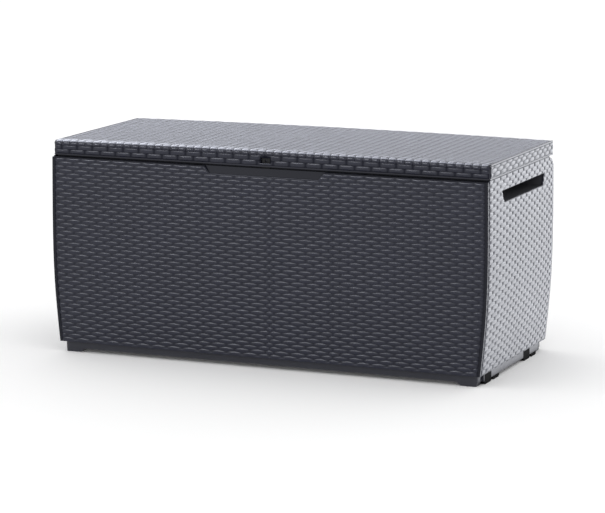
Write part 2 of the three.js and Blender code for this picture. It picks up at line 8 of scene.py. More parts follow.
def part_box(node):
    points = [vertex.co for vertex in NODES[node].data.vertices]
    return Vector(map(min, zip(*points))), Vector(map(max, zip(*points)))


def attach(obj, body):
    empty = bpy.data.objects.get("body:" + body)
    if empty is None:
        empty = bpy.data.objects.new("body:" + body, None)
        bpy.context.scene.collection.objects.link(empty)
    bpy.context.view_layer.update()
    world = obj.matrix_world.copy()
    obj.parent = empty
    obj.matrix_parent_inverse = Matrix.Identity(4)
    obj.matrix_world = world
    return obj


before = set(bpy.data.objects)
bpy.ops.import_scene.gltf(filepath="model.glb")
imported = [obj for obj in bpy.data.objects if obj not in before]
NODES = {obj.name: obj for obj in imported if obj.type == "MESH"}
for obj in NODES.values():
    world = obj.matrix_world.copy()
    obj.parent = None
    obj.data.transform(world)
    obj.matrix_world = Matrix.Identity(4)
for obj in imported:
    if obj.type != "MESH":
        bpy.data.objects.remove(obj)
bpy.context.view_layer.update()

MM = 0.001


def edge(node, side, axis):
    """One face of a CAD node's box, in millimetres."""
    lo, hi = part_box(node)
    return (lo, hi)[side][axis] * 1000


# ---------- camera ----------
cam = bpy.data.cameras.new("camera")
cam.lens, cam.sensor_width = 174.6, 36
cam.clip_start, cam.clip_end = 0.1, 100
camera = bpy.data.objects.new("camera", cam)
camera.location = (3.003, -7.145, 1.617)
camera.rotation_euler = (math.radians(80.04), 0, math.radians(22.81))
bpy.context.scene.collection.objects.link(camera)
bpy.context.scene.camera = camera
bpy.context.scene.view_settings.view_transform = "Standard"

# ---------- sizes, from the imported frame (millimetres) ----------
FRONT = edge("front_panel", 0, 1)  # outer face of the front panel
BACK = edge("back_panel", 1, 1)
PANEL_Z0 = edge("front_panel", 0, 2)
SHOULDER = 527.5 + (PANEL_Z0 - 28)
LID_X = edge("lid_shell", 1, 0)
LID_Y0, LID_Y1 = edge("lid_shell", 0, 1), edge("lid_shell", 1, 1)
LID_Z0, LID_Z1 = edge("lid_shell", 0, 2), edge("lid_shell", 1, 2)
FIELD = 1.2  # depth of the recessed fields that the weave fills
SEAT = 0.2  # room between a weave and its field
BASE_T = 0.35  # thinnest part of a weave
CROWN = 4.2  # the lid's top is this much higher in the middle than at its ends
PROFILE = np.array([
    [28, 597], [50, 599.7], [80, 602.6], [120, 606.2], [160, 609.6], [200, 612],
    [240, 613.6], [280, 614.6], [320, 615], [380, 615], [440, 614.5], [527.5, 613.5],
])


def half_width(z):
    return np.interp(z, PROFILE[:, 0], PROFILE[:, 1])


def crown(x):
    return CROWN * (1 - np.minimum(np.abs(x) / 613, 1) ** 2)


# ---------- woven skins ----------
# A weave is a closed skin: a relief grid outside, upright walls round its edges and holes, and a flat back.
# Its rows run along T and are stacked along S. u counts the posts that the strands pass over, and v the rows.

ROW_STEPS = np.array([0, 0.09, 0.3, 0.5, 0.7, 0.91])
COL_STEPS = np.array([0, 0.14, 0.36, 0.64, 0.86])


class Posts:
    """Where the strands cross the posts, along a row."""

    def __init__(self, centres, first_parity=0, pitch=22.4):
        c = list(centres)
        n = 0
        while c[0] > -700:
            c.insert(0, c[0] - pitch)
            n += 1
        while c[-1] < 700:
            c.append(c[-1] + pitch)
        self.c = np.array(c, float)
        self.k = np.arange(len(c)) - n + first_parity

    def u(self, t):
        return np.interp(t, self.c, self.k)

    def lines(self, t0, t1):
        c = self.c
        fine = (c[:-1, None] + COL_STEPS[None, :] * np.diff(c)[:, None]).ravel()
        fine = fine[(fine > t0 + 0.9) & (fine < t1 - 0.9)]
        return np.concatenate([[t0], fine, [t1]])


def row_lines(first, pitch, s0, s1, snap=()):
    """Grid lines across the rows: their places and row numbers. `first` is the middle of row 0."""
    r = np.arange(math.floor((s0 - first) / pitch) - 1, math.ceil((s1 - first) / pitch) + 2)
    v = (r[:, None] - 0.5 + ROW_STEPS[None, :]).ravel()
    s = first + pitch * v
    keep = (s > s0 + 0.5) & (s < s1 - 0.5)
    s = np.concatenate([[s0], s[keep], [s1]])
    at = []
    for q in snap:
        i = int(np.argmin(np.abs(s - q)))
        s[i] = q
        at.append(i)
    return s, (s - first) / pitch, at


def over(u, v, parity):
    """1 where the row at v passes over a post at u, -1 where it passes under."""
    return np.cos(np.pi * (u - (np.floor(v) + parity)))


def woven(u, v, parity, ends=2.7, post=0.16, blunt=2.6, seam=0.985):
    """Height of a plain weave, from 0 in the gaps to 1 on the crests. blunt and ends say how flat a strand is
    across and along, and seam how deep the groove between two rows is."""
    low = np.floor(v)
    frac = v - low
    height = np.zeros_like(u)
    for row, across in ((low, frac / 0.5), (low + 1, (1 - frac) / 0.5)):
        along = np.abs((u - (row + parity) + 1) % 2 - 1)
        strand = (1 - along**ends) * np.sqrt(np.clip(1 - seam * across**blunt, 0, 1))
        height = np.maximum(height, np.where(across <= 1.0001, strand, 0))
    # the upright post shows where a strand dips under it
    off = np.abs(u - np.round(u)) * 22.4 / 4.4
    upright = post * np.sqrt(np.clip(1 - off**2, 0, 1))
    return np.maximum(height, upright)


def smooth(x):
    x = np.clip(x, 0, 1)
    return x * x * (3 - 2 * x)


def hashed(i, j, seed=0):
    """A steady number from -1 to 1 for each pair of whole numbers."""
    h = np.sin(i * 127.1 + j * 311.7 + seed * 74.7) * 43758.5453
    return (h - np.floor(h)) * 2 - 1


def make_skin(name, P, H, N, keep, rows, cols, crest, material, body):
    """The closed skin on base points P (n, m, 3), raised by H along N. keep marks the cells (n-1, m-1) that are there.
    rows and cols are the lines that the flat back needs."""
    n, m = H.shape
    top = P + N * H[..., None]
    index = np.arange(n * m).reshape(n, m)
    # does T x S point outwards?
    ci, cj = n // 3, m // 3
    e1, e2 = P[ci, cj + 1] - P[ci, cj], P[ci + 1, cj] - P[ci, cj]
    flip = np.dot(np.cross(e1, e2), N[ci, cj]) < 0

    a, b, c, d = index[:-1, :-1][keep], index[:-1, 1:][keep], index[1:, 1:][keep], index[1:, :-1][keep]
    quads = np.stack([a, b, c, d], 1)
    pad = np.zeros((n + 1, m + 1), bool)
    pad[1:-1, 1:-1] = keep
    K = pad[1:-1, 1:-1]
    lower, upper, left, right = K & ~pad[:-2, 1:-1], K & ~pad[2:, 1:-1], K & ~pad[1:-1, :-2], K & ~pad[1:-1, 2:]
    A, B, C, D = index[:-1, :-1], index[:-1, 1:], index[1:, 1:], index[1:, :-1]
    rim = np.concatenate([
        np.stack([A[lower], B[lower]], 1), np.stack([B[right], C[right]], 1),
        np.stack([C[upper], D[upper]], 1), np.stack([D[left], A[left]], 1),
    ])
    # flat back
    loops = []
    for i0, i1 in zip(rows[:-1], rows[1:]):
        for j0, j1 in zip(cols[:-1], cols[1:]):
            if not keep[(i0 + i1) // 2, (j0 + j1) // 2]:
                continue
            js, is_ = np.arange(j0, j1 + 1), np.arange(i0, i1 + 1)
            low = index[i0, js] if not pad[i0, (j0 + j1) // 2 + 1] else index[i0, [j0, j1]]
            rgt = index[is_, j1] if not pad[(i0 + i1) // 2 + 1, j1 + 1] else index[[i0, i1], j1]
            upp = index[i1, js[::-1]] if not pad[i1 + 1, (j0 + j1) // 2 + 1] else index[i1, [j1, j0]]
            lft = index[is_[::-1], j0] if not pad[(i0 + i1) // 2 + 1, j0] else index[[i1, i0], j0]
            loops.append(np.concatenate([low[:-1], rgt[:-1], upp[:-1], lft[:-1]]))
    back_ids = np.unique(np.concatenate([rim.ravel()] + loops))
    top_ids = np.unique(quads)
    new_top = np.full(n * m, -1)
    new_top[top_ids] = np.arange(len(top_ids))
    new_back = np.full(n * m, -1)
    new_back[back_ids] = np.arange(len(back_ids)) + len(top_ids)
    verts = np.concatenate([top.reshape(-1, 3)[top_ids], P.reshape(-1, 3)[back_ids]])

    q = new_top[quads]
    w = np.stack([new_top[rim[:, 0]], new_back[rim[:, 0]], new_back[rim[:, 1]], new_top[rim[:, 1]]], 1)
    backs = [new_back[l][::-1] for l in loops]
    if flip:
        q, w = q[:, ::-1], w[:, ::-1]
        backs = [x[::-1] for x in backs]
    flat = np.concatenate([q.ravel(), w.ravel()] + backs)
    totals = np.concatenate([np.full(len(q) + len(w), 4), [len(x) for x in backs]]).astype(np.int32)
    starts = np.concatenate([[0], np.cumsum(totals)[:-1]]).astype(np.int32)

    me = bpy.data.meshes.new(name)
    me.vertices.add(len(verts))
    me.vertices.foreach_set("co", (verts * MM).ravel())
    me.loops.add(len(flat))
    me.loops.foreach_set("vertex_index", flat.astype(np.int32))
    me.polygons.add(len(totals))
    me.polygons.foreach_set("loop_start", starts)
    me.polygons.foreach_set("loop_total", totals)
    shade = np.zeros(len(totals), bool)
    shade[: len(q)] = True
    me.polygons.foreach_set("use_smooth", shade)
    me.update(calc_edges=True)

    # a clean map: the relief above, the walls and the back in thin strips below
    gi, gj = np.divmod(np.arange(n * m), m)
    at = np.stack([0.004 + 0.992 * gj / (m - 1), 0.06 + 0.936 * gi / (n - 1)], 1)
    uv = np.zeros((len(flat), 2))
    nq = q.size
    uv[:nq] = at[top_ids[flat[:nq]]]
    k = np.arange(len(w))
    x0, x1 = 0.004 + 0.992 * k / len(w), 0.004 + 0.992 * (k + 0.9) / len(w)
    wall = np.stack([np.stack([x0, np.full_like(x0, 0.052)], 1), np.stack([x0, np.full_like(x0, 0.032)], 1),
                     np.stack([x1, np.full_like(x0, 0.032)], 1), np.stack([x1, np.full_like(x0, 0.052)], 1)], 1)
    uv[nq : nq + w.size] = (wall[:, ::-1] if flip else wall).reshape(-1, 2)
    src = back_ids[flat[nq + w.size :] - len(top_ids)]
    uv[nq + w.size :] = np.stack([at[src, 0], 0.004 + (at[src, 1] - 0.06) * 0.022 / 0.936], 1)
    me.uv_layers.new(name="OFBake").data.foreach_set("uv", uv.ravel())
    att = me.attributes.new("crest", "FLOAT", "POINT")
    values = np.zeros(len(verts))
    values[: len(top_ids)] = crest.ravel()[top_ids]
    att.data.foreach_set("value", values)

    me.materials.append(material)
    ob = bpy.data.objects.new(name, me)
    bpy.context.scene.collection.objects.link(ob)
    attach(ob, body)
    return ob


def weave_grid(posts, t0, t1, first, pitch, s0, s1, parity, hole=None, wave=0.11, ends_at=None, top_at=None):
    """The grid of a weave. hole = (s from, s to or None for a notch, t(s) left, t(s) right).
    ends_at(s) gives the half length of a row where the ends follow a curved outline, and top_at(t) the upper edge."""
    snap = [] if hole is None else [q for q in hole[:2] if q is not None]
    s, v, at = row_lines(first, pitch, s0, s1, snap)
    t = posts.lines(t0, t1)
    j_hole = None
    T = np.repeat(t[None, :], len(s), 0)
    keep = np.ones((len(s) - 1, len(t) - 1), bool)
    if hole is not None:
        h0, h1 = hole[0], s1 if hole[1] is None else hole[1]
        i0 = at[0]
        i1 = len(s) - 1 if hole[1] is None else at[1]
        sc = np.clip(s, h0, h1)
        j_hole = []
        for side, f in enumerate(hole[2:]):
            j = int(np.argmin(np.abs(t - f((h0 + h1) / 2))))
            j_hole.append(j)
            near = np.clip(1 - np.abs(t - t[j]) / 45, 0, 1)[None, :]
            fade = np.clip(1 - np.maximum(h0 - s, s - h1) / 25, 0, 1)[:, None]
            T = T + (f(sc) - t[j])[:, None] * near * fade
        keep[i0:i1, j_hole[0] : j_hole[1]] = False
    if ends_at is not None:
        h = ends_at(s)[:, None]
        full = max(abs(t0), abs(t1))
        far = np.clip((np.abs(T) - (full - 60)) / 60, 0, 1)
        T = T + np.sign(T) * (h - full) * far
    u = posts.u(T)
    V = np.repeat(v[:, None], len(t), 1)
    frac = V - np.floor(V)
    tri = np.where(frac <= 0.5, frac, 1 - frac) / 0.5
    calm = np.clip(np.minimum(s - s0, s1 - s) / (0.6 * pitch), 0, 1)
    for q in snap:
        calm = calm * np.clip(np.abs(s - q) / (0.6 * pitch), 0, 1)
    S = s[:, None] + pitch * wave * over(u, V, parity) * tri * calm[:, None]
    top = np.full_like(T, s1)
    if top_at is not None:
        top = top_at(T)
        start = s1 - 32
        S = np.where(S > start, start + (S - start) * (top - start) / (s1 - start), S)
    # distance to the nearest edge
    dist = np.minimum(np.minimum(S - s0, top - S), np.minimum(T - T[:, :1], T[:, -1:] - T))
    if hole is not None:
        L, R = hole[2](sc)[:, None], hole[3](sc)[:, None]
        out_t = np.maximum(L - T, T - R)
        out_s = np.maximum(h0 - S, S - h1 if hole[1] is not None else -1e9)
        outside = np.where((out_t > 0) & (out_s > 0), np.hypot(out_t, out_s), np.maximum(out_t, out_s))
        dist = np.minimum(dist, np.maximum(outside, 0))
        rows = sorted({0, i0, i1, len(s) - 1})
        cols = [0, *j_hole, len(t) - 1]
    else:
        rows, cols = [0, len(s) - 1], [0, len(t) - 1]
    return s, S, T, u, V, keep, rows, cols, dist


def relief(u, V, parity, dist, seed, amp, **kw):
    """Relief in millimetres and its share of the full height, with a little unevenness from strand to strand."""
    w = woven(u, V, parity, **kw)
    r = np.floor(V + 0.5)
    k = np.round((u - (r + parity)) / 2)
    vary = 1 + 0.07 * hashed(r, k, seed)
    hem = 0.25 + 0.75 * smooth(dist / 1.8)
    h = w * vary * hem
    return BASE_T + amp * h, h


def rows_breaks(s, values):
    return [int(np.argmin(np.abs(s - z))) for z in values]


# ---------- materials ----------
def node(tree, kind, at=(0, 0), **values):
    n = tree.nodes.new(kind)
    n.location = at
    for k, v in values.items():
        if k in n.inputs:
            n.inputs[k].default_value = v
        else:
            setattr(n, k, v)
    return n


def resin(name, colour, rough=0.42, grain=1100.0, bump=0.18, along=None, crest=False, ior=1.38, tone=0.16, depth=0.00022,
          gap=0.6, gap_shade_spec=0.08):
    """Moulded resin: fine grain, faint flow streaks, uneven gloss, and on a weave painted shade in the gaps (darker
    colour, weaker reflection) and a slightly lighter colour on the crests.
    """
    m = bpy.data.materials.new(name)
    m.use_nodes = True
    t = m.node_tree
    t.nodes.clear()
    out = node(t, "ShaderNodeOutputMaterial", (900, 0))
    p = node(t, "ShaderNodeBsdfPrincipled", (600, 0))
    p.inputs["IOR"].default_value = ior
    t.links.new(p.outputs[0], out.inputs[0])
    co = node(t, "ShaderNodeTexCoord", (-1100, 0))
    fine = node(t, "ShaderNodeTexNoise", (-700, -300), Scale=grain, Detail=3.0, Roughness=0.6)
    broad = node(t, "ShaderNodeTexNoise", (-700, 300), Scale=9.0, Detail=4.0, Roughness=0.55)
    t.links.new(co.outputs["Object"], fine.inputs["Vector"])
    t.links.new(co.outputs["Object"], broad.inputs["Vector"])
    stretch = node(t, "ShaderNodeMapping", (-900, 0))
    stretch.inputs["Scale"].default_value = along or (300, 300, 300)
    streak = node(t, "ShaderNodeTexNoise", (-700, 0), Scale=1.0, Detail=2.0, Roughness=0.5)
    t.links.new(co.outputs["Object"], stretch.inputs["Vector"])
    t.links.new(stretch.outputs[0], streak.inputs["Vector"])
    # tone
    mix = node(t, "ShaderNodeMapRange", (-450, 300))
    mix.inputs["To Min"].default_value, mix.inputs["To Max"].default_value = 1 - tone, 1 + tone
    t.links.new(broad.outputs[0], mix.inputs[0])
    tone_out = mix.outputs[0]
    sm = node(t, "ShaderNodeMapRange", (-450, 60))
    sm.inputs["To Min"].default_value, sm.inputs["To Max"].default_value = 0.86, 1.14
    t.links.new(streak.outputs[0], sm.inputs[0])
    mul = node(t, "ShaderNodeMath", (-250, 200), operation="MULTIPLY")
    t.links.new(tone_out, mul.inputs[0])
    t.links.new(sm.outputs[0], mul.inputs[1])
    tone_out = mul.outputs[0]
    rough_in = node(t, "ShaderNodeMapRange", (-250, -100))
    rough_in.inputs["To Min"].default_value, rough_in.inputs["To Max"].default_value = rough - 0.07, rough + 0.07
    t.links.new(streak.outputs[0], rough_in.inputs[0])
    rough_out = rough_in.outputs[0]
    if crest:
        # painted shade: the colour darkens towards the gaps between strands, where shade falls, and is slightly lighter
        # on the crests
        at = node(t, "ShaderNodeAttribute", (-700, 560), attribute_name="crest")
        ramp = node(t, "ShaderNodeValToRGB", (-450, 560))
        e = ramp.color_ramp.elements
        e[0].position, e[0].color = 0.0, (gap, gap, gap, 1)
        e[1].position, e[1].color = 1.0, (1.12, 1.12, 1.12, 1)
        mid = e.new(0.45)
        mid.color = (0.95, 0.95, 0.95, 1)
        t.links.new(at.outputs["Fac"], ramp.inputs[0])
        m2 = node(t, "ShaderNodeMath", (-100, 300), operation="MULTIPLY")
        t.links.new(tone_out, m2.inputs[0])
        t.links.new(ramp.outputs[0], m2.inputs[1])
        tone_out = m2.outputs[0]
        r2 = node(t, "ShaderNodeMapRange", (-250, -300))
        r2.inputs["To Min"].default_value, r2.inputs["To Max"].default_value = 0.22, 0.0
        t.links.new(at.outputs["Fac"], r2.inputs[0])
        add = node(t, "ShaderNodeMath", (-50, -150), operation="ADD")
        t.links.new(rough_out, add.inputs[0])
        t.links.new(r2.outputs[0], add.inputs[1])
        rough_out = add.outputs[0]
        # painted shade: the gaps reflect less, standing in for the shade between the strands
        gl = node(t, "ShaderNodeMapRange", (300, -120), interpolation_type="SMOOTHSTEP")
        gl.inputs["From Max"].default_value = 0.55
        gl.inputs["To Min"].default_value, gl.inputs["To Max"].default_value = gap_shade_spec, 0.5
        t.links.new(at.outputs["Fac"], gl.inputs[0])
        t.links.new(gl.outputs[0], p.inputs["Specular IOR Level"])
    tint = node(t, "ShaderNodeVectorMath", (200, 200), operation="SCALE")
    tint.inputs[0].default_value = colour
    t.links.new(tone_out, tint.inputs["Scale"])
    t.links.new(tint.outputs[0], p.inputs["Base Color"])
    t.links.new(rough_out, p.inputs["Roughness"])
    b = node(t, "ShaderNodeBump", (300, -300))
    b.inputs["Strength"].default_value = bump
    b.inputs["Distance"].default_value = depth
    hs = node(t, "ShaderNodeMath", (0, -400), operation="MULTIPLY_ADD")
    hs.inputs[1].default_value = 0.8
    t.links.new(streak.outputs[0], hs.inputs[0])
    t.links.new(fine.outputs[0], hs.inputs[2])
    t.links.new(hs.outputs[0], b.inputs["Height"])
    t.links.new(b.outputs[0], p.inputs["Normal"])
    return m


def steel(name, dark=0.42, light=0.62, rough=0.35):
    m = bpy.data.materials.new(name)
    m.use_nodes = True
    t = m.node_tree
    t.nodes.clear()
    out = node(t, "ShaderNodeOutputMaterial", (600, 0))
    p = node(t, "ShaderNodeBsdfPrincipled", (300, 0))
    p.inputs["Metallic"].default_value = 1.0
    t.links.new(p.outputs[0], out.inputs[0])
    co = node(t, "ShaderNodeTexCoord", (-900, 0))
    mp = node(t, "ShaderNodeMapping", (-700, 0))
    mp.inputs["Scale"].default_value = (250, 2500, 250)
    n = node(t, "ShaderNodeTexNoise", (-500, 0), Scale=1.0, Detail=3.0)
    t.links.new(co.outputs["Object"], mp.inputs[0])
    t.links.new(mp.outputs[0], n.inputs["Vector"])
    r = node(t, "ShaderNodeMapRange", (-200, -100))
    r.inputs["To Min"].default_value, r.inputs["To Max"].default_value = rough - 0.1, rough + 0.1
    t.links.new(n.outputs[0], r.inputs[0])
    t.links.new(r.outputs[0], p.inputs["Roughness"])
    c = node(t, "ShaderNodeValToRGB", (-200, 150))
    c.color_ramp.elements[0].color = (dark, dark * 1.02, dark * 1.06, 1)
    c.color_ramp.elements[1].color = (light, light * 1.01, light * 1.05, 1)
    t.links.new(n.outputs[0], c.inputs[0])
    t.links.new(c.outputs[0], p.inputs["Base Color"])
    b = node(t, "ShaderNodeBump", (0, -300))
    b.inputs["Strength"].default_value, b.inputs["Distance"].default_value = 0.15, 0.0001
    t.links.new(n.outputs[0], b.inputs["Height"])
    t.links.new(b.outputs[0], p.inputs["Normal"])
    return m


ANTHRACITE = (0.0140, 0.0152, 0.0265)
weave_x = resin("woven_resin_across", ANTHRACITE, rough=0.29, along=(60, 1400, 1400), crest=True, bump=0.12)
# painted shade: the front weave's colour is a little darker than ANTHRACITE, for the front in shade
weave_front = resin("woven_resin_front", (0.0125, 0.0138, 0.0255), rough=0.21, along=(60, 1400, 1400), crest=True, bump=0.09,
                    gap=0.7, gap_shade_spec=0.3)
weave_y = resin("woven_resin_along", ANTHRACITE, rough=0.29, along=(1400, 60, 1400), crest=True, bump=0.12)
# painted shade: the lid's front weave shares that darker colour
weave_edge = resin("woven_resin_edge", (0.0125, 0.0138, 0.0255), rough=0.24, along=(60, 1400, 1400), crest=True, bump=0.09,
                   gap=0.4, gap_shade_spec=0.04)
weave_top = resin("woven_resin_top", ANTHRACITE, rough=0.26, along=(60, 1400, 1400), crest=True, bump=0.12, gap=0.5, gap_shade_spec=0.03)
# painted shade: the front panel's resin is darker and reflects less than the other shells, standing in for the shade on
# the front
front_shell_shaded = resin("resin_front", (0.0085, 0.0092, 0.0150), rough=0.45, along=(90, 90, 900), ior=1.26)
shell = resin("resin_shell", (0.0130, 0.0140, 0.0235), rough=0.34, along=(90, 90, 900))
plain = resin("smooth_resin", (0.0235, 0.0245, 0.0340), rough=0.40, along=(80, 80, 700), bump=0.2)
# painted light: the handle pocket's resin is several times lighter than the rest, standing in for light falling in
# through the slot
pocket = resin("pocket_resin", (0.0550, 0.0560, 0.0640), rough=0.46, along=(80, 80, 700), bump=0.2)
inner = resin("inner_resin", (0.0240, 0.0250, 0.0330), rough=0.50, along=(220, 220, 220), bump=0.28, tone=0.12)
rubber = resin("black_rubber", (0.0050, 0.0050, 0.0054), rough=0.85, grain=1600.0, bump=0.5, ior=1.12)
metal = steel("zinc_steel")
coated = steel("coated_steel", 0.012, 0.03, 0.5)

for name, ob in NODES.items():
    if name.startswith("foot_pad"):
        mat = rubber
    elif name.startswith("lock_staple"):
        mat = coated
    elif "screw" in name or "pin" in name:
        mat = metal
    elif name.startswith(("corner_bracket", "hinge_", "lid_inner")):
        mat = inner
    elif name.startswith("handle_pocket"):
        mat = pocket
    elif name.startswith("base"):
        mat = plain
    elif name == "front_panel":
        mat = front_shell_shaded
    else:
        mat = shell
    for s in ob.material_slots:
        s.material = mat

# ---------- front and back ----------
FRONT_POSTS = Posts([
    -598, -576, -552, -530, -506, -485, -462, -440, -418, -395, -373, -350, -328, -305, -282, -260, -236, -214, -190,
    -174, -152, -130, -108, -84, -62, -40, -17, 5, 16, 28, 50, 74, 96, 118, 140, 160, 182, 194, 214, 237, 257, 280, 300,
    322, 344, 364, 387, 407, 428, 450, 470, 491, 512, 532, 555, 576, 592])
AMP = 2.5


def flat_place(y, out):
    def f(S, T):
        P = np.stack([T, np.full_like(T, y), S], -1)
        N = np.zeros_like(P)
        N[..., 1] = out
        return P, N
    return f


Z0, Z1 = PANEL_Z0 + 0.3, SHOULDER - 2.0
RECESS_Z, RECESS_LOW, RECESS_TOP = 509.5, 153, 169


def recess_half(z):
    return RECESS_LOW + 0.6 + (z - RECESS_Z) * (RECESS_TOP - RECESS_LOW) / (SHOULDER - RECESS_Z)


def panel(name, place, posts, s1, first, pitch, parity, hole, seed):
    s, S, T, u, V, keep, rows, cols, dist = weave_grid(
        posts, -606.8, 606.8, first, pitch, Z0, s1, parity, hole, ends_at=lambda z: half_width(z) - 8.2)
    H, crest = relief(u, V, parity, dist, seed, AMP)
    # the lowest strand is a border that runs straight through
    low = np.sqrt(np.clip(1 - ((S - (Z0 + 2.6)) / 2.9) ** 2, 0, 1)) * 0.8
    low = low * (S < Z0 + 5.4)
    crest = np.maximum(crest, low)
    H = np.maximum(H, BASE_T + AMP * low)
    P, N = place(S, T)
    return make_skin(name, P, H, N, keep, rows, cols, crest, weave_front, "box")


panel("front_weave", flat_place(FRONT + FIELD - SEAT, -1), FRONT_POSTS, Z1, 499.9, 10.35, 0,
      (RECESS_Z - 0.6, None, lambda z: -recess_half(z), lambda z: recess_half(z)), 1)
panel("back_weave", flat_place(BACK - FIELD + SEAT, 1), FRONT_POSTS, 507 - 6.15, 499.9, 10.35, 0, None, 2)

# ---------- sides ----------
SIDE_POSTS = Posts([-274, -250, -224, -199, -174, -148, -124, -100, -78, -54, -34, -12, 8, 32, 54, 77, 99, 121, 142, 163,
                    182, 204, 222, 240, 255, 277], first_parity=0)
SLOT_Z1, SLOT_Z0 = 491.5, 461.5


def slot_left(z):
    return -157 - 0.5 + (SLOT_Z1 - z) / 30 * 18


def slot_right(z):
    return 180 + 0.5 - (SLOT_Z1 - z) / 30 * 12


SIDE_Y0, SIDE_Y1 = FRONT + 6.45, BACK - 7.45
SIDE_Z0, SIDE_Z1 = PANEL_Z0 + 0.3, SHOULDER + 3.5


def side_top(t):
    """Upper edge: level under the lid, sloping down at the front corner and round the hinge side."""
    return np.interp(t, [-258.6, -252.2, 231.0, 234.6, 246.8, 257.6], [527.3, 531.0, 531.0, 524.7, 524.7, 513.9])


def side(name, sign, seed):
    s, S, T, u, V, keep, rows, cols, dist = weave_grid(
        SIDE_POSTS, SIDE_Y0, SIDE_Y1, 433.9, 10.17, SIDE_Z0, SIDE_Z1, 0,
        (SLOT_Z0 - 0.4, SLOT_Z1 + 0.4, slot_left, slot_right), top_at=side_top)
    H, crest = relief(u, V, 0, dist, seed, AMP, ends=8.0, post=0.1, blunt=4.0, seam=0.85)
    # the back needs a line at each bend of the outline
    rows = sorted({*rows, *rows_breaks(s, [z for z in PROFILE[:, 0] if SIDE_Z0 + 6 < z < SIDE_Z1 - 6])})
    slope = (half_width(S + 1) - half_width(S - 1)) / 2
    X = half_width(S) - FIELD + SEAT
    P = np.stack([sign * X, T, S], -1)
    N = np.stack([sign * np.ones_like(X), np.zeros_like(X), -slope], -1)
    N /= np.linalg.norm(N, axis=-1, keepdims=True)
    return make_skin(name, P, H, N, keep, rows, cols, crest, weave_y, "box")


side("side_weave_right", 1, 3)
side("side_weave_left", -1, 4)

# ---------- lid ----------
LID_POSTS = Posts([22.7 * k - 1.0 for k in range(-28, 29)], first_parity=0)
TOP_Y0, TOP_Y1 = LID_Y0 + 30.6, LID_Y1 - 3.2
TOP_X = LID_X - 3.4


def lid_top():
    s, S, T, u, V, keep, rows, cols, dist = weave_grid(
        LID_POSTS, -TOP_X, TOP_X, TOP_Y0 + 5.2, 10.3, TOP_Y0, TOP_Y1, 0, wave=0.10)
    free = np.minimum(np.minimum(TOP_Y1 - S, 99), np.minimum(T + TOP_X, TOP_X - T))
    H, crest = relief(u, V, 0, free, 5, 0.85, ends=2.8, post=0.05, blunt=3.2, seam=0.97)
    H = H + crown(T)
    P = np.stack([T, S, np.full_like(T, LID_Z1 + SEAT)], -1)
    N = np.zeros_like(P)
    N[..., 2] = 1
    return make_skin("lid_top_weave", P, H, N, keep, rows, cols, crest, weave_top, "lid")


lid_top()


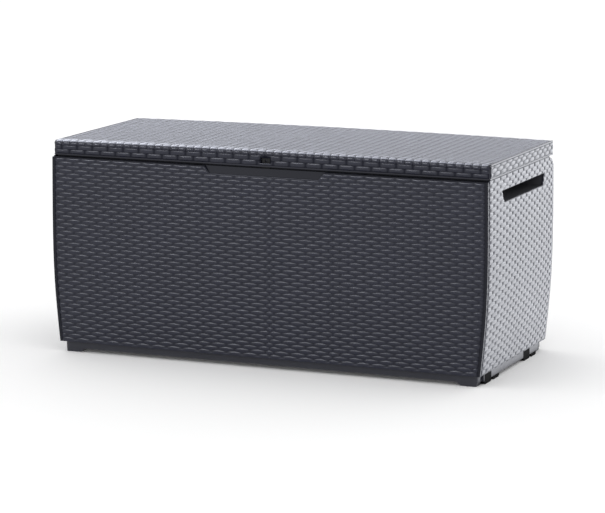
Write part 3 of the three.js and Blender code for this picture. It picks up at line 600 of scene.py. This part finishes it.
def lid_front():
    """The front apron, the rolled front edge and the first row of the top, as one skin over the shell's rounded edge."""
    r = 8.2
    face, z0 = LID_Y0 + 1 - SEAT, LID_Z0 + 3.7
    up = LID_Z1 - 8 - z0  # length of the upright face
    arc = r * math.pi / 2
    total = up + arc + (TOP_Y0 - (face + r))
    # rows: two rows of strands, the rolled edge, one row behind it
    a0, pitch = 0.5, 10.5
    roll0, roll1 = a0 + 2 * pitch, total - 10.3
    lines = [0]
    for r0 in (a0, a0 + pitch):
        lines += list(r0 + pitch * ROW_STEPS)
    k = np.linspace(0, 1, 15)
    lines += list(roll0 + (roll1 - roll0) * (0.5 - 0.5 * np.cos(np.pi * k)))
    lines += list(roll1 + 10.3 * np.array([0.09, 0.3, 0.5, 0.7, 0.91, 1.0]))
    slot0, slot1 = 541.5 - 0.4 - z0, 554.5 + 0.4 - z0
    s = np.array(lines)
    for q in (slot0, slot1):
        s[int(np.argmin(np.abs(s - q)))] = q
    s = np.unique(np.round(s, 4))
    i0, i1 = (int(np.argmin(np.abs(s - q))) for q in (slot0, slot1))
    t = LID_POSTS.lines(-TOP_X, TOP_X)
    for q in (-14.4, 14.4):
        t[int(np.argmin(np.abs(t - q)))] = q
    j0, j1 = (int(np.argmin(np.abs(t - q))) for q in (-14.4, 14.4))
    S, T = np.meshgrid(s, t, indexing="ij")
    keep = np.ones((len(s) - 1, len(t) - 1), bool)
    keep[i0:i1, j0:j1] = False
    u = LID_POSTS.u(T)
    hgt = np.zeros_like(S)
    # two woven rows
    V = (S - a0) / pitch - 0.5
    two = woven(u, V, 0)
    hgt = np.where((S >= a0) & (S <= roll0), two, hgt)
    hgt = np.where(S < a0, 0.2, hgt)
    # rolled edge: strands wrapped over it side by side, every other one reaching lower
    f = np.clip((S - roll0) / (roll1 - roll0), 0, 1)
    across = np.abs(((u + 0.5) % 1) - 0.5) * 2  # 0 between posts, 1 on a gap
    gap = np.abs(u - np.round(u)) * 22.7  # distance to the nearest gap, in millimetres
    block = np.sqrt(np.clip(1 - (1 - np.clip(gap / 3.6, 0, 1)) ** 2, 0, 1))
    roll = (0.15 + 0.85 * np.clip(f / 0.09, 0, 1) ** 0.5) * (1.1 - 0.55 * f) * (0.02 + 0.98 * block)
    roll = roll * (0.35 + 0.65 * smooth((1 - f) / 0.12))
    hgt = np.where((S > roll0) & (S < roll1), roll, hgt)
    V2 = (S - roll1) / 10.3 - 0.5
    hgt = np.where(S >= roll1, woven(u, V2 - 1, 0), hgt)
    side_d = np.minimum(T + TOP_X, TOP_X - T)
    hem = 0.25 + 0.75 * smooth(side_d / 1.8)
    lock = np.maximum(np.maximum(-14.4 - T, T - 14.4), np.maximum(slot0 - S, S - slot1))
    hem = hem * (0.25 + 0.75 * smooth(lock / 1.8))
    crest = hgt * hem
    H = BASE_T + 2.3 * crest
    # path
    ang = np.clip((S - up) / r, 0, math.pi / 2)
    y = np.where(S < up, face, face + r - r * np.cos(ang)) + np.clip(S - up - arc, 0, None)
    z = np.where(S < up, z0 + S, LID_Z1 - 8 + r * np.sin(ang))
    lift = crown(T) * smooth((S - a0) / (roll0 - a0))
    # the skin thickens under the arched edge, so that its back stays on the shell
    P = np.stack([T, y, z], -1)
    N = np.stack([np.zeros_like(T), -np.cos(ang), np.sin(ang)], -1)
    up_only = np.zeros_like(N)
    up_only[..., 2] = 1
    top = P + N * H[..., None] + up_only * lift[..., None]
    D = top - P
    L = np.linalg.norm(D, axis=-1)
    rows = sorted({0, i0, i1, *rows_breaks(s, list(up + arc * np.linspace(0, 1, 7))), len(s) - 1})
    return make_skin("lid_front_weave", P, L, D / L[..., None], keep, rows, [0, j0, j1, len(t) - 1], crest, weave_edge,
                     "lid")


edge_skin = lid_front()


def lid_apron(name, at, t0, t1, posts, seed, along_x, high):
    """A woven apron on the side or the back of the lid."""
    z0, z1 = LID_Z0 + 3.7, LID_Z1 - high
    s, S, T, u, V, keep, rows, cols, dist = weave_grid(posts, t0, t1, 563.4, 10.2, z0, z1, 1, wave=0.10)
    H, crest = relief(u, V, 1, dist, seed, 1.9)
    sign = 1 if at > 0 else -1
    if along_x:
        P = np.stack([T, np.full_like(T, at), S + crown(T) * smooth((S - z0) / (z1 - z0))], -1)
        N = np.zeros_like(P)
        N[..., 1] = sign
    else:
        P = np.stack([np.full_like(T, at), T, S], -1)
        N = np.zeros_like(P)
        N[..., 0] = sign
    return make_skin(name, P, H, N, keep, rows, cols, crest, weave_x if along_x else weave_y, "lid")


LID_SIDE = LID_X - 1 + SEAT
lid_apron("lid_side_weave_right", LID_SIDE, LID_Y0 + 4.4, LID_Y1 - 4.4, SIDE_POSTS, 6, False, 3.2)
lid_apron("lid_side_weave_left", -LID_SIDE, LID_Y0 + 4.4, LID_Y1 - 4.4, SIDE_POSTS, 7, False, 3.2)
lid_apron("lid_back_weave", LID_Y1 - 1 + SEAT, -LID_X + 4.4, LID_X - 4.4, LID_POSTS, 8, True, 3.4)



def trim(name, sign):
    """A smooth rounded edge along the top of the lid's end."""
    a = np.linspace(math.radians(4), math.radians(83), 17)
    cx, cz = LID_X - 3.5, LID_Z1 - 2.5
    ring = [(cx + 4.1 * math.cos(q), cz + 4.1 * math.sin(q)) for q in a]
    ring += [(cx + 2.75 * math.cos(q), cz + 2.75 * math.sin(q)) for q in a[::-1]]
    y0, y1 = LID_Y0 + 9.2, LID_Y1 - 4.2
    k = len(ring)
    verts = [(sign * x * MM, y * MM, z * MM) for y in (y0, y1) for x, z in ring]
    faces = [tuple(range(k)), tuple(range(2 * k - 1, k - 1, -1))]
    faces += [(i, k + i, k + (i + 1) % k, (i + 1) % k) for i in range(k)]
    if sign < 0:
        faces = [f[::-1] for f in faces]
    me = bpy.data.meshes.new(name)
    me.from_pydata(verts, [], [f[::-1] for f in faces])
    me.materials.append(shell)
    ob = bpy.data.objects.new(name, me)
    bpy.context.scene.collection.objects.link(ob)
    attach(ob, "lid")


trim("lid_end_trim_right", 1)
trim("lid_end_trim_left", -1)

# ---------- stage ----------
me = bpy.data.meshes.new("floor")
me.from_pydata([(-40, -40, -0.0004), (40, -40, -0.0004), (40, 40, -0.0004), (-40, 40, -0.0004)], [], [(0, 1, 2, 3)])
floor = bpy.data.objects.new("floor", me)
bpy.context.scene.collection.objects.link(floor)
fm = bpy.data.materials.new("floor")
fm.use_nodes = True
p = fm.node_tree.nodes["Principled BSDF"]
p.inputs["Base Color"].default_value = (0.95, 0.95, 0.95, 1)
p.inputs["Roughness"].default_value = 0.9
p.inputs["Emission Color"].default_value = (1, 1, 1, 1)
p.inputs["Emission Strength"].default_value = 0.05
me.materials.append(fm)

world = bpy.data.worlds.new("studio")
bpy.context.scene.world = world
world.use_nodes = True
world.node_tree.nodes["Background"].inputs[0].default_value = (1, 1, 1, 1)
world.node_tree.nodes["Background"].inputs[1].default_value = 1.07


def softbox(name, at, aim, size, radiance, colour=(1, 1, 1)):
    """A panel that shows in the box's sheen and leaves the floor even."""
    d = bpy.data.lights.new(name, "AREA")
    d.shape, d.size, d.size_y = "RECTANGLE", size[0], size[1]
    d.energy = radiance * math.pi * size[0] * size[1]
    d.color = colour
    o = bpy.data.objects.new(name, d)
    o.location = at
    o.rotation_mode = "QUATERNION"
    o.rotation_quaternion = (Vector(aim) - Vector(at)).to_track_quat("-Z", "Y")
    o.visible_camera = False
    o.visible_diffuse = False
    bpy.context.scene.collection.objects.link(o)
    return o


COOL = (0.92, 0.94, 1.0)
# a tall panel behind the right-hand end, with a reflector on the floor beside it
softbox("key_right", (1.75, 2.6, 0.95), (0.6, 0, 0.25), (2.0, 1.9), 4.3, COOL)
softbox("reflector", (1.235, 1.30, 0.003), (1.235, 1.30, 5.0), (1.25, 3.1), 2.5, COOL)
# a panel far behind on the left, for the lid
softbox("back_left", (-2.9, 6.9, 1.35), (0, 0, 0.57), (5.6, 2.3), 1.75, (0.76, 0.81, 1.0))
# a strip high in front on the left, for the strands
softbox("strip", (-1.54, -3.43, 2.23), (0, -0.265, 0.3), (2.6, 0.34), 29.0, (0.9, 0.92, 1.0))
# a panel overhead, for the lid's rolled edge alone
overhead = softbox("overhead", (-1.4, 0.5, 3.4), (-0.02, -0.25, 0.57), (3.2, 5.6), 10.0, (0.86, 0.89, 1.0))
lit = bpy.data.collections.new("lit_from_overhead")
lit.objects.link(edge_skin)
overhead.light_linking.receiver_collection = lit
